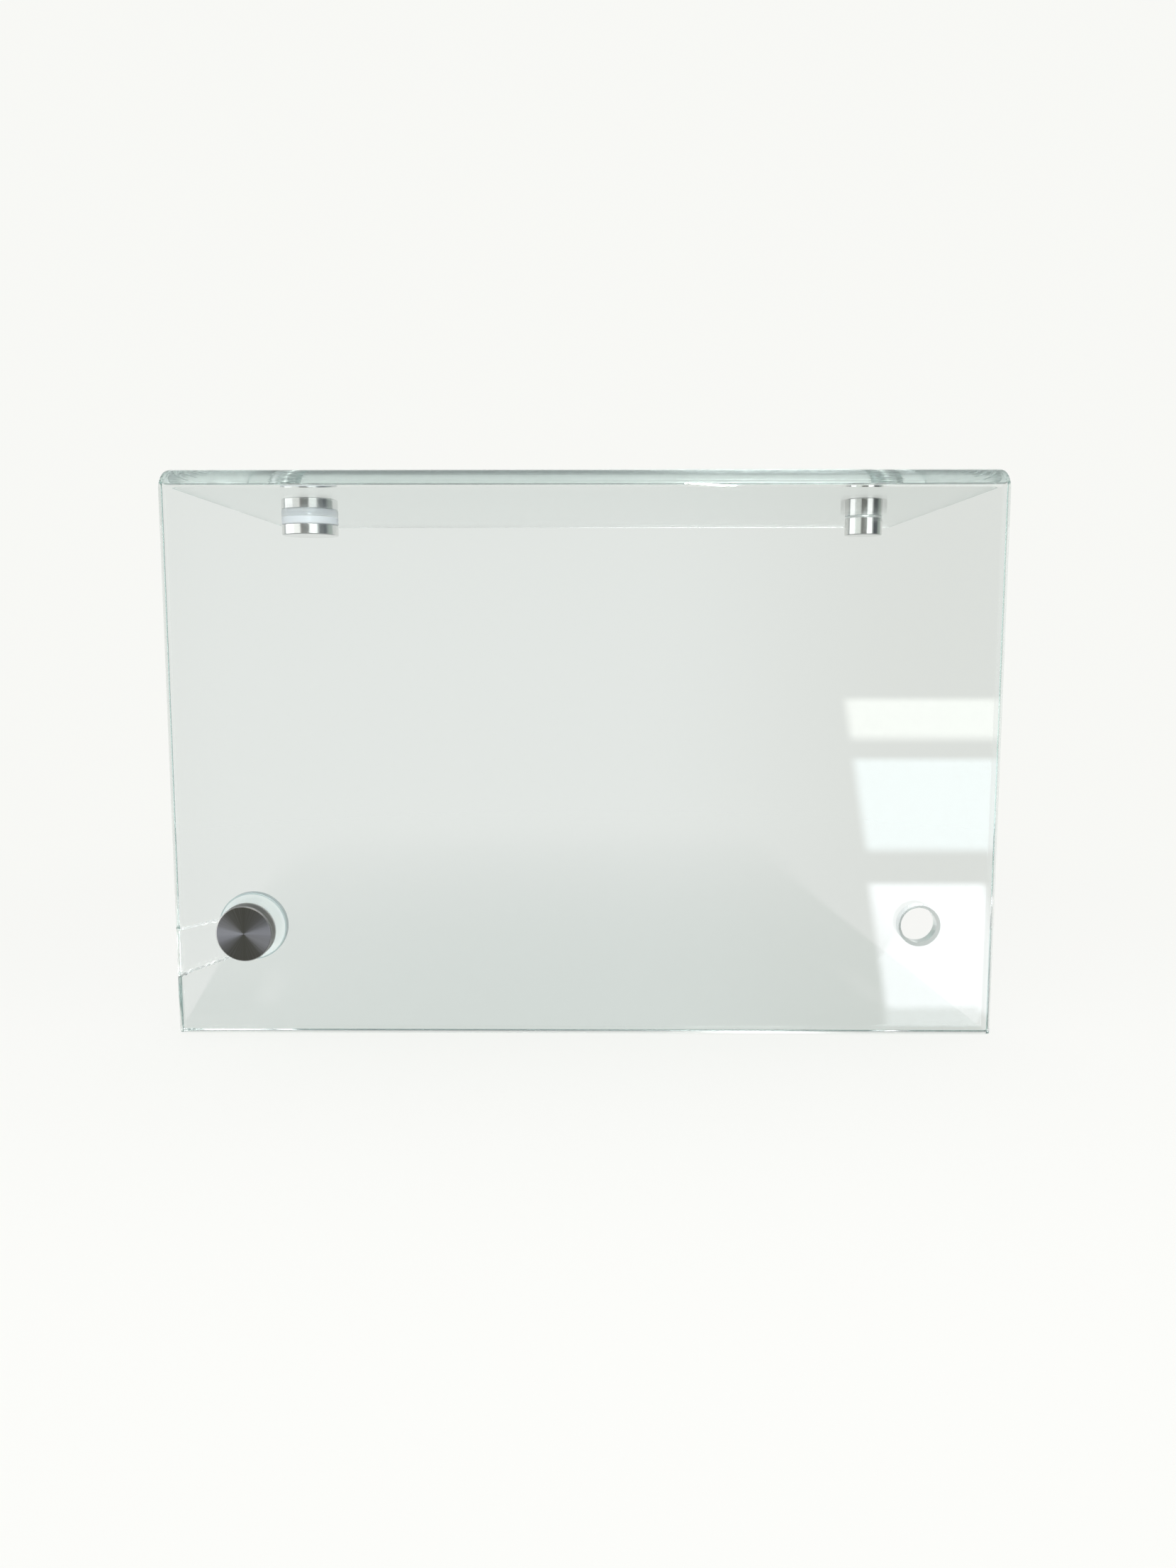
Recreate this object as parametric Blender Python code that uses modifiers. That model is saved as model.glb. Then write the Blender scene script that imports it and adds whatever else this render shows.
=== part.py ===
"""Bent glass cover panel held off a ledge by screw-on point fixings.

Metres, +Z up, +Y back into the ledge. The origin is the middle of the ledge's top front edge:
the front fixing bears on the plane y = 0 and the top fixings bear on the plane z = 0.
"""

import math

import bmesh
import bpy
from mathutils import Matrix, Vector

# Glass panel
PANEL_WIDTH = 0.300
PANEL_HEIGHT = 0.205
PANEL_DEPTH = 0.176
GLASS_THICKNESS = 0.0066
BEND_RISE = 0.008
BEND_RUN = 0.0135
BEND_STEPS = 14
ARRIS = 0.0009

# Drilled holes
SIDE_MARGIN = 0.0275
TOP_SIDE_MARGIN = 0.0251
FRONT_LEFT_HEIGHT = 0.0395
FRONT_RIGHT_HEIGHT = 0.041
TOP_SETBACK = 0.1235
HOLE_DIAMETER = 0.013
HOLE_ARRIS = 0.0011

# Broken piece at the left edge, measured from the front left hole
UPPER_CRACK_DROP = 0.0007
UPPER_CRACK_BOW = 0.0012
UPPER_CRACK_ANGLE = math.radians(138.0)
LOWER_CRACK_DROP = 0.0189
LOWER_CRACK_BOW = 0.0135
LOWER_CRACK_ANGLE = math.radians(252.0)
CRACK_STEPS = 12
CRACK_TOOTH = 0.00022
CRACK_GAP = 0.0004

# Point fixings
STANDOFF = 0.008
CAP_DIAMETER = 0.0204
CAP_HEIGHT = 0.006
CAP_CHAMFER = 0.0005
CAP_SKIN = 0.0012
GASKET_DIAMETER = 0.0180
GASKET_THICKNESS = 0.0006
WASHER_DIAMETER = 0.025
WASHER_THICKNESS = 0.0026
WASHER_ROUNDING = 0.0004
FILM_DIAMETER = 0.0160
FILM_THICKNESS = 0.0004
DISC_CHAMFER = 0.0004
DISC_SKIN = 0.0010
BARREL_DIAMETER = 0.0165
STUD_DIAMETER = 0.006
STUD_POINT = 0.0006

# Clearances
TOUCH_GAP = 0.0003
STUD_CLEARANCE = 0.0002
TURN_STEPS = 48
STUD_STEPS = 24

HALF_WIDTH = PANEL_WIDTH / 2
FRONT_X = HALF_WIDTH - SIDE_MARGIN
TOP_X = HALF_WIDTH - TOP_SIDE_MARGIN
FRONT_FACE = -(GLASS_THICKNESS + STANDOFF)
TOP_FACE = GLASS_THICKNESS + STANDOFF
PANEL_FOOT = TOP_FACE - PANEL_HEIGHT
HOLE_RADIUS = HOLE_DIAMETER / 2
STUD_BORE = STUD_DIAMETER / 2 + STUD_CLEARANCE
CUT_MARGIN = 0.003


def clear_scene():
    for found in list(bpy.data.objects):
        bpy.data.objects.remove(found, do_unlink=True)


def make_collection(name):
    made = bpy.data.collections.new(name)
    bpy.context.scene.collection.children.link(made)
    return made


def make_material(name, colour, roughness, metallic, transmission=0.0):
    made = bpy.data.materials.new(name)
    made.use_nodes = True
    shader = made.node_tree.nodes["Principled BSDF"]
    shader.inputs["Base Color"].default_value = (*colour, 1.0)
    shader.inputs["Roughness"].default_value = roughness
    shader.inputs["Metallic"].default_value = metallic
    shader.inputs["Transmission Weight"].default_value = transmission
    return made


def place(name, mesh, collection, material=None, parent=None):
    made = bpy.data.objects.new(name, mesh)
    collection.objects.link(made)
    made.parent = parent
    if material:
        mesh.materials.append(material)
    return made


def as_cutter(made):
    made.hide_render = True
    made.display_type = "WIRE"
    return made


def make_empty(name, location, rotation, parent=None):
    made = bpy.data.objects.new(name, None)
    made.empty_display_size = 0.02
    made.location = location
    made.rotation_euler = rotation
    made.parent = parent
    parts.objects.link(made)
    return made


def flat_mesh(name, outline, thickness, turn):
    """A filled 2D outline given thickness on both sides of its plane, as a closed mesh."""
    curve = bpy.data.curves.new(name, "CURVE")
    curve.dimensions = "2D"
    curve.fill_mode = "BOTH"
    curve.extrude = thickness / 2
    spline = curve.splines.new("POLY")
    spline.points.add(len(outline) - 1)
    spline.use_cyclic_u = True
    for point, (across, up) in zip(spline.points, outline):
        point.co = (across, up, 0.0, 1.0)
    holder = bpy.data.objects.new(name, curve)
    bpy.context.scene.collection.objects.link(holder)
    graph = bpy.context.evaluated_depsgraph_get()
    mesh = bpy.data.meshes.new_from_object(holder.evaluated_get(graph))
    bpy.data.objects.remove(holder, do_unlink=True)
    shape = bmesh.new()
    shape.from_mesh(mesh)
    bmesh.ops.remove_doubles(shape, verts=shape.verts, dist=1e-6)
    bmesh.ops.transform(shape, matrix=turn, verts=shape.verts)
    bmesh.ops.dissolve_limit(shape, angle_limit=math.radians(0.5), verts=shape.verts, edges=shape.edges)
    bmesh.ops.recalc_face_normals(shape, faces=shape.faces)
    shape.to_mesh(mesh)
    shape.free()
    mesh.name = name
    return mesh


def turned(name, profile, collection, material=None, parent=None, closed=True, steps=TURN_STEPS):
    """A body turned about its local Z axis from (radius, height) points, outer side running downwards."""
    mesh = bpy.data.meshes.new(name)
    shape = bmesh.new()
    points = [shape.verts.new((radius, 0.0, height)) for radius, height in profile]
    for first, second in zip(points, points[1:]):
        shape.edges.new((first, second))
    if closed:
        shape.edges.new((points[-1], points[0]))
    shape.to_mesh(mesh)
    shape.free()
    made = place(name, mesh, collection, material, parent)
    screw = made.modifiers.new("turn", "SCREW")
    screw.axis = "Z"
    screw.angle = math.tau
    screw.steps = steps
    screw.render_steps = steps
    screw.use_merge_vertices = True
    screw.merge_threshold = 1e-5
    screw.use_smooth_shade = False
    return made


def cut(made, cutter, operation="DIFFERENCE"):
    boolean = made.modifiers.new(operation.lower(), "BOOLEAN")
    boolean.operation = operation
    boolean.solver = "EXACT"
    boolean.object = cutter


def panel_outline():
    """The side view of the bent sheet as (y, z) points, round the outer skin and back along the inner."""
    centre = Vector((FRONT_FACE + BEND_RUN, TOP_FACE - BEND_RISE))
    inner_run = BEND_RUN - GLASS_THICKNESS
    inner_rise = BEND_RISE - GLASS_THICKNESS
    rear = FRONT_FACE + PANEL_DEPTH
    angles = [math.pi - math.pi / 2 * step / BEND_STEPS for step in range(BEND_STEPS + 1)]
    outer = [centre + Vector((BEND_RUN * math.cos(a), BEND_RISE * math.sin(a))) for a in angles]
    inner = [centre + Vector((inner_run * math.cos(a), inner_rise * math.sin(a))) for a in reversed(angles)]
    ends = [Vector((rear, TOP_FACE)), Vector((rear, STANDOFF))]
    feet = [Vector((-STANDOFF, PANEL_FOOT)), Vector((FRONT_FACE, PANEL_FOOT))]
    return outer + ends + inner + feet


def panel_blank(name, collection, material=None):
    """The bent sheet before drilling, with its sharp edges taken off."""
    turn = Matrix(((0, 0, 1, 0), (1, 0, 0, 0), (0, 1, 0, 0), (0, 0, 0, 1)))
    mesh = flat_mesh(name, panel_outline(), PANEL_WIDTH, turn)
    made = place(name, mesh, collection, material, datum)
    arris = made.modifiers.new("arris", "BEVEL")
    arris.width = ARRIS
    arris.segments = 1
    arris.limit_method = "ANGLE"
    arris.angle_limit = math.radians(50.0)
    return made


def hole_cutter(name, parent):
    """A drill along the fixing's axis, flared where it breaks each face of the glass."""
    mouth = HOLE_RADIUS + HOLE_ARRIS
    flare = mouth + CUT_MARGIN
    far = GLASS_THICKNESS + CUT_MARGIN
    profile = [
        (0.0, CUT_MARGIN),
        (flare, CUT_MARGIN),
        (HOLE_RADIUS, -HOLE_ARRIS),
        (HOLE_RADIUS, HOLE_ARRIS - GLASS_THICKNESS),
        (flare, -far),
        (0.0, -far),
    ]
    return as_cutter(turned(name, profile, cutters, parent=parent, closed=False))


def curve_point(corners, along):
    """A point on the smooth curve drawn by a start, two pulls and an end."""
    back = 1.0 - along
    weights = (back**3, 3 * back**2 * along, 3 * back * along**2, along**3)
    return sum((corner * weight for corner, weight in zip(corners, weights)), Vector((0.0, 0.0)))


def crack_line(start, pulls, angle, hole):
    """One jagged crack as (x, z) points, from outside the panel's left edge into the hole."""
    end = hole + 0.6 * HOLE_RADIUS * Vector((math.cos(angle), math.sin(angle)))
    line = [start - Vector((CUT_MARGIN, 0.0))]
    for step in range(CRACK_STEPS + 1):
        point = curve_point((start, *pulls, end), step / CRACK_STEPS)
        tooth = CRACK_TOOTH * math.sin(2.3 * step) * math.cos(0.9 * step)
        line.append(point + Vector((0.0, tooth)))
    return line


def shard_outline(shift):
    """The outline of the broken piece as (x, z) points, grown up and down by the shift."""
    hole = Vector((-FRONT_X, PANEL_FOOT + FRONT_LEFT_HEIGHT))
    edge = -HALF_WIDTH
    upper_start = Vector((edge, hole.y - UPPER_CRACK_DROP))
    upper_end = hole.y + HOLE_RADIUS * math.sin(UPPER_CRACK_ANGLE)
    upper_pulls = [
        Vector((edge + 0.35 * SIDE_MARGIN, upper_start.y + UPPER_CRACK_BOW)),
        Vector((edge + 0.55 * SIDE_MARGIN, upper_end)),
    ]
    lower_start = Vector((edge, hole.y - LOWER_CRACK_DROP))
    lower_pulls = [
        Vector((edge + 0.29 * SIDE_MARGIN, hole.y - LOWER_CRACK_BOW)),
        Vector((edge + 0.80 * SIDE_MARGIN, hole.y - LOWER_CRACK_BOW)),
    ]
    rise = Vector((0.0, shift))
    upper = [p + rise for p in crack_line(upper_start, upper_pulls, UPPER_CRACK_ANGLE, hole)]
    lower = [p - rise for p in crack_line(lower_start, lower_pulls, LOWER_CRACK_ANGLE, hole)]
    return upper + [hole] + lower[::-1]


def shard_cutter(name, shift):
    """A block the shape of the broken piece, running through the front of the glass."""
    middle = FRONT_FACE + GLASS_THICKNESS / 2
    turn = Matrix(((1, 0, 0, 0), (0, 0, -1, middle), (0, 1, 0, 0), (0, 0, 0, 1)))
    mesh = flat_mesh(name, shard_outline(shift), GLASS_THICKNESS + 2 * CUT_MARGIN, turn)
    return as_cutter(place(name, mesh, cutters, parent=datum))


def ring_profile(outer, inner, top, bottom, rounding):
    """A plain ring with its four rims taken off by the rounding."""
    return [
        (inner, top),
        (outer - rounding, top),
        (outer, top - rounding),
        (outer, bottom + rounding),
        (outer - rounding, bottom),
        (inner, bottom),
    ]


def make_cap(side, fixing):
    """The turned cap with a blind threaded bore, screwed down on the stud."""
    foot = 2 * TOUCH_GAP + GASKET_THICKNESS
    head = foot + CAP_HEIGHT
    radius = CAP_DIAMETER / 2
    profile = [
        (0.0, head),
        (radius - CAP_CHAMFER, head),
        (radius, head - CAP_CHAMFER),
        (radius, foot + CAP_CHAMFER / 2),
        (radius - CAP_CHAMFER / 2, foot),
        (STUD_BORE, foot),
        (STUD_BORE, head - CAP_SKIN),
        (0.0, head - CAP_SKIN),
    ]
    return turned(side + "_cap", profile, parts, spun_steel, fixing, closed=False)


def make_gasket(side, fixing):
    low = TOUCH_GAP
    high = low + GASKET_THICKNESS
    profile = ring_profile(GASKET_DIAMETER / 2, STUD_BORE, high, low, GASKET_THICKNESS / 4)
    return turned(side + "_gasket", profile, parts, clear_vinyl, fixing)


def make_sleeve(side, fixing):
    """The clear bush that keeps the stud off the wall of the hole."""
    radius = HOLE_RADIUS - TOUCH_GAP
    high = -TOUCH_GAP
    low = TOUCH_GAP - GLASS_THICKNESS
    profile = [(STUD_BORE, high), (radius, high), (radius, low), (STUD_BORE, low)]
    return turned(side + "_sleeve", profile, parts, clear_vinyl, fixing, steps=STUD_STEPS)


def make_washer(name, fixing, diameter, thickness, rounding, material):
    """A ring that lies against the ledge side of the glass."""
    high = -(GLASS_THICKNESS + TOUCH_GAP)
    profile = ring_profile(diameter / 2, STUD_BORE, high, high - thickness, rounding)
    return turned(name, profile, parts, material, fixing)


def make_base(name, fixing, diameter, washer_thickness):
    """The polished spacer that bears on the ledge, with a blind threaded bore for the stud."""
    high = -(GLASS_THICKNESS + 2 * TOUCH_GAP + washer_thickness)
    low = -(GLASS_THICKNESS + STANDOFF)
    radius = diameter / 2
    profile = [
        (0.0, low + DISC_SKIN),
        (STUD_BORE, low + DISC_SKIN),
        (STUD_BORE, high),
        (radius - DISC_CHAMFER, high),
        (radius, high - DISC_CHAMFER),
        (radius, low + DISC_CHAMFER),
        (radius - DISC_CHAMFER, low),
        (0.0, low),
    ]
    return turned(name, profile, parts, polished_steel, fixing, closed=False)


def make_stud(side, fixing):
    """The threaded rod that joins cap and base, its ends pointed; the thread itself is left plain."""
    high = 2 * TOUCH_GAP + GASKET_THICKNESS + CAP_HEIGHT - CAP_SKIN - TOUCH_GAP
    low = DISC_SKIN + TOUCH_GAP - (GLASS_THICKNESS + STANDOFF)
    radius = STUD_DIAMETER / 2
    profile = [
        (0.0, high),
        (radius - STUD_POINT, high),
        (radius, high - STUD_POINT),
        (radius, low + STUD_POINT),
        (radius - STUD_POINT, low),
        (0.0, low),
    ]
    return turned(side + "_stud", profile, parts, stud_steel, fixing, closed=False, steps=STUD_STEPS)


def make_fixing(side, fixing):
    """One complete fixing round its axis, whose zero is the outer face of the glass."""
    make_cap(side, fixing)
    make_gasket(side, fixing)
    make_sleeve(side, fixing)
    make_stud(side, fixing)
    if side == "top_right":
        film = side + "_film_washer"
        make_washer(film, fixing, FILM_DIAMETER, FILM_THICKNESS, FILM_THICKNESS / 4, clear_vinyl)
        make_base(side + "_barrel", fixing, BARREL_DIAMETER, FILM_THICKNESS)
    else:
        washer = side + "_washer"
        make_washer(washer, fixing, WASHER_DIAMETER, WASHER_THICKNESS, WASHER_ROUNDING, white_nylon)
        if side == "front_left":
            make_base(side + "_barrel", fixing, BARREL_DIAMETER, WASHER_THICKNESS)
        else:
            make_base(side + "_base_disc", fixing, WASHER_DIAMETER, WASHER_THICKNESS)


def make_panel(fixings):
    """The drilled sheet with the gap where its left edge broke, and the broken piece in that gap."""
    drills = {side: hole_cutter(side + "_drill", fixing) for side, fixing in fixings.items()}
    panel = panel_blank("bent_glass_panel", parts, clear_glass)
    cut(panel, shard_cutter("break_cutter", CRACK_GAP / 2))
    for drill in drills.values():
        cut(panel, drill)
    shard = panel_blank("broken_edge_shard", parts, clear_glass)
    cut(shard, shard_cutter("shard_cutter", -CRACK_GAP / 2), "INTERSECT")
    cut(shard, drills["front_left"])


clear_scene()
parts = make_collection("bent_glass_cover_panel")
cutters = make_collection("cutters")

clear_glass = make_material("clear_glass", (0.86, 0.92, 0.90), 0.02, 0.0, 1.0)
spun_steel = make_material("spun_steel", (0.42, 0.42, 0.40), 0.30, 1.0)
polished_steel = make_material("polished_steel", (0.72, 0.72, 0.71), 0.10, 1.0)
stud_steel = make_material("stud_steel", (0.55, 0.55, 0.54), 0.30, 1.0)
white_nylon = make_material("white_nylon", (0.80, 0.84, 0.86), 0.45, 0.0)
clear_vinyl = make_material("clear_vinyl", (0.85, 0.88, 0.88), 0.15, 0.0, 0.8)

datum = make_empty("ledge_edge", (0.0, 0.0, 0.0), (0.0, 0.0, 0.0))
towards_front = (math.pi / 2, 0.0, 0.0)
upwards = (0.0, 0.0, 0.0)
top_y = FRONT_FACE + TOP_SETBACK
front_left_z = PANEL_FOOT + FRONT_LEFT_HEIGHT
front_right_z = PANEL_FOOT + FRONT_RIGHT_HEIGHT
fixing_axes = {
    "front_left": make_empty("front_left_axis", (-FRONT_X, FRONT_FACE, front_left_z), towards_front, datum),
    "front_right": make_empty("front_right_axis", (FRONT_X, FRONT_FACE, front_right_z), towards_front, datum),
    "top_left": make_empty("top_left_axis", (-TOP_X, top_y, TOP_FACE), upwards, datum),
    "top_right": make_empty("top_right_axis", (TOP_X, top_y, TOP_FACE), upwards, datum),
}
bpy.context.view_layer.update()
make_panel(fixing_axes)
for fitted in ("front_left", "top_left", "top_right"):
    make_fixing(fitted, fixing_axes[fitted])
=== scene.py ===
"""Dresses the bent glass cover panel and its steel standoff fixings for a studio picture.

Lengths are in metres. +X runs along the bend, +Y back into the ledge and +Z up; the origin is the
middle of the ledge's top front edge.
"""

from __future__ import annotations

import logging
import math
from contextlib import contextmanager
from dataclasses import dataclass, field
from enum import Enum
from typing import Iterator, Mapping, Sequence

import bpy
from mathutils import Euler, Matrix, Vector, noise

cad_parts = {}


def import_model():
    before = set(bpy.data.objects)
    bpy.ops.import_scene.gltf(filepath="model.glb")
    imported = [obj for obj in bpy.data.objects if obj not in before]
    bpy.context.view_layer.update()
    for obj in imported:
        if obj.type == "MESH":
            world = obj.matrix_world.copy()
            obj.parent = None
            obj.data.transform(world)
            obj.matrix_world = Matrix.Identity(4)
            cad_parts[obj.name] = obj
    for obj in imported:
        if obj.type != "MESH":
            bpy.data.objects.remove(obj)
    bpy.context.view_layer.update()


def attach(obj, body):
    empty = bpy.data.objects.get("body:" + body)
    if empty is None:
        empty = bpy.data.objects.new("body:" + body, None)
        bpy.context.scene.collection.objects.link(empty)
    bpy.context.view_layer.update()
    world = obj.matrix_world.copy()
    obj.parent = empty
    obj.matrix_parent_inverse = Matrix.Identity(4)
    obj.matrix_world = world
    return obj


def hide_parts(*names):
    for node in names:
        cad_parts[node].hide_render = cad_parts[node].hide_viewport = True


LOG = logging.getLogger("cover_panel")
MM = 0.001
SORT_POINT = (0.06137, -0.03719, 0.04571)  # off every symmetry of the part, so that no two elements tie
CLEARANCE = 0.02 * MM
WELD_CURVE, WELD_LINE, WELD_TURN, WELD_CUT = 1e-7, 1e-6, 2e-6, 4e-6
FLAT_SLACK = 2e-6
WALL_TILT, LIP_TILT, EDGE_TILT, FACE_TILT, SIDE_TILT = 0.3, 0.9, 0.2, 0.95, 0.97  # parts of a unit normal
TURN_STEPS, RING_STEPS, DRILL_STEPS, THREAD_STEPS = 144, 128, 96, 28
SMOOTH_TURNED, SMOOTH_GLASS, SMOOTH_THREAD = 32.0, 24.0, 30.0  # degrees
Colour = tuple[float, float, float]
Span = tuple[float, float]
Outline = Sequence[tuple[float, float]]
Feeds = Mapping[object, object]
Socket = bpy.types.NodeSocket
Piece = bpy.types.Object
Material = bpy.types.Material


class Facing(Enum):
    """The way a fixing's cap looks."""

    FRONT = "front"
    UP = "up"


class Spacer(Enum):
    """What holds the glass off the ledge at a fixing."""

    WASHER_AND_DISC = "washer and disc"
    WASHER_AND_BARREL = "washer and barrel"
    FILM_AND_BARREL = "film and barrel"


class Bench:
    """The modelling operators, used one step at a time as a modeller would by hand."""

    @staticmethod
    def activate(piece: Piece) -> None:
        """Makes one object the only selected and the active one.

        Args:
            piece: The object.
        """
        bpy.ops.object.select_all(action="DESELECT")
        piece.select_set(True)
        bpy.context.view_layer.objects.active = piece

    @staticmethod
    @contextmanager
    def editing(piece: Piece) -> Iterator[None]:
        """Puts a piece in edit mode for the length of a with block.

        Args:
            piece: The mesh object to edit.

        Returns:
            A context that leaves edit mode again.
        """
        Bench.activate(piece)
        bpy.ops.object.mode_set(mode="EDIT")
        yield
        bpy.ops.object.mode_set(mode="OBJECT")

    @staticmethod
    def grab() -> None:
        """Selects the whole mesh in edit mode."""
        bpy.ops.mesh.select_all(action="SELECT")

    @staticmethod
    def face_out() -> None:
        """Turns every face of the mesh in edit mode outwards."""
        Bench.grab()
        bpy.ops.mesh.normals_make_consistent(inside=False)

    @staticmethod
    def weld(threshold: float) -> None:
        """Merges the points of the mesh in edit mode that lie closer than a threshold."""
        Bench.grab()
        bpy.ops.mesh.remove_doubles(threshold=threshold)

    @staticmethod
    def apply(piece: Piece, modifier: bpy.types.Modifier) -> None:
        """Applies one modifier to its piece."""
        Bench.activate(piece)
        bpy.ops.object.modifier_apply(modifier=modifier.name)

    @staticmethod
    def name(piece: Piece, name: str) -> Piece:
        """Names an object and its mesh alike.

        Args:
            piece: The object.
            name: The name for both.

        Returns:
            The object.
        """
        piece.name = name
        piece.data.name = name
        return piece

    @staticmethod
    def dress(piece: Piece, material: Material) -> None:
        """Gives a piece one material and no other."""
        piece.data.materials.clear()
        piece.data.materials.append(material)

    @staticmethod
    def settle(piece: Piece, place: Matrix) -> None:
        """Moves a piece to its place and puts that place into its mesh.

        Args:
            piece: The piece, at the origin.
            place: Where it goes.
        """
        piece.matrix_world = place
        Bench.activate(piece)
        bpy.ops.object.transform_apply(location=True, rotation=True, scale=True)

    @staticmethod
    def chain(name: str, points: Outline, closed: bool) -> Piece:
        """Draws an outline in the XZ plane by extruding a single point.

        Args:
            name: The new object's name.
            points: The (x, z) points in order.
            closed: Whether the last point joins the first.

        Returns:
            The new object, a chain of edges.
        """
        bpy.ops.object.select_all(action="DESELECT")
        bpy.ops.mesh.primitive_plane_add(size=MM)
        piece = Bench.name(bpy.context.active_object, name)
        stops = list(points) + ([points[0]] if closed else [])
        with Bench.editing(piece):
            Bench.grab()
            bpy.ops.mesh.merge(type="CENTER")
            bpy.ops.transform.translate(value=(stops[0][0], 0.0, stops[0][1]))
            for (x0, z0), (x1, z1) in zip(stops, stops[1:]):
                step = {"value": (x1 - x0, 0.0, z1 - z0)}
                bpy.ops.mesh.extrude_vertices_move(TRANSFORM_OT_translate=step)
            Bench.weld(WELD_LINE)
        return piece

    @staticmethod
    def turn(name: str, points: Outline, closed: bool, steps: int, rounding: float) -> Piece:
        """Turns an outline about the Z axis and rounds its rims.

        Args:
            name: The new object's name.
            points: The (radius, height) points in order.
            closed: Whether the outline is a loop clear of the axis.
            steps: How many facets go round.
            rounding: The width taken off each rim.

        Returns:
            The turned body, smooth except at its rims.
        """
        piece = Bench.chain(name, points, closed)
        with Bench.editing(piece):
            Bench.grab()
            bpy.ops.mesh.spin(steps=steps, angle=math.tau, center=(0, 0, 0), axis=(0, 0, 1))
            Bench.weld(WELD_TURN)
            Bench.face_out()
        if rounding > 0.0:
            rim = piece.modifiers.new("rim", "BEVEL")
            rim.width = rounding
            rim.segments = 3
            rim.limit_method = "ANGLE"
            rim.angle_limit = math.radians(28.0)
            Bench.apply(piece, rim)
        Bench.sort(piece)
        Bench.smooth(piece, SMOOTH_TURNED)
        return piece

    @staticmethod
    def sort(piece: Piece) -> None:
        """Puts a mesh in one order, which bevels and cuts leave to chance.

        Args:
            piece: The mesh object to sort.
        """
        bpy.context.scene.cursor.location = SORT_POINT
        with Bench.editing(piece):
            Bench.grab()
            bpy.ops.mesh.sort_elements(type="CURSOR_DISTANCE", elements={"VERT", "EDGE", "FACE"})
        bpy.context.scene.cursor.location = (0.0, 0.0, 0.0)

    @staticmethod
    def smooth(piece: Piece, angle: float) -> None:
        """Shades a piece smooth below an angle in degrees, with flat faces kept flat.

        Args:
            piece: The mesh object to shade.
            angle: The angle between faces, in degrees, from which an edge stays sharp.
        """
        Bench.activate(piece)
        bpy.ops.object.shade_smooth_by_angle(angle=math.radians(angle))
        weigh = piece.modifiers.new("weigh", "WEIGHTED_NORMAL")
        weigh.keep_sharp = True
        weigh.weight = 90
        Bench.apply(piece, weigh)

    @staticmethod
    def cut(piece: Piece, cutter: Piece, operation: str = "DIFFERENCE") -> None:
        """Applies one Boolean between two meshes and removes the cutter.

        Args:
            piece: The mesh that is cut.
            cutter: The mesh that cuts it.
            operation: The Boolean's operation.
        """
        boolean = piece.modifiers.new("cut", "BOOLEAN")
        boolean.operation = operation
        boolean.solver = "EXACT"
        boolean.object = cutter
        Bench.apply(piece, boolean)
        Bench.sort(piece)
        spare = cutter.data
        bpy.data.objects.remove(cutter, do_unlink=True)
        bpy.data.meshes.remove(spare)


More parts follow.
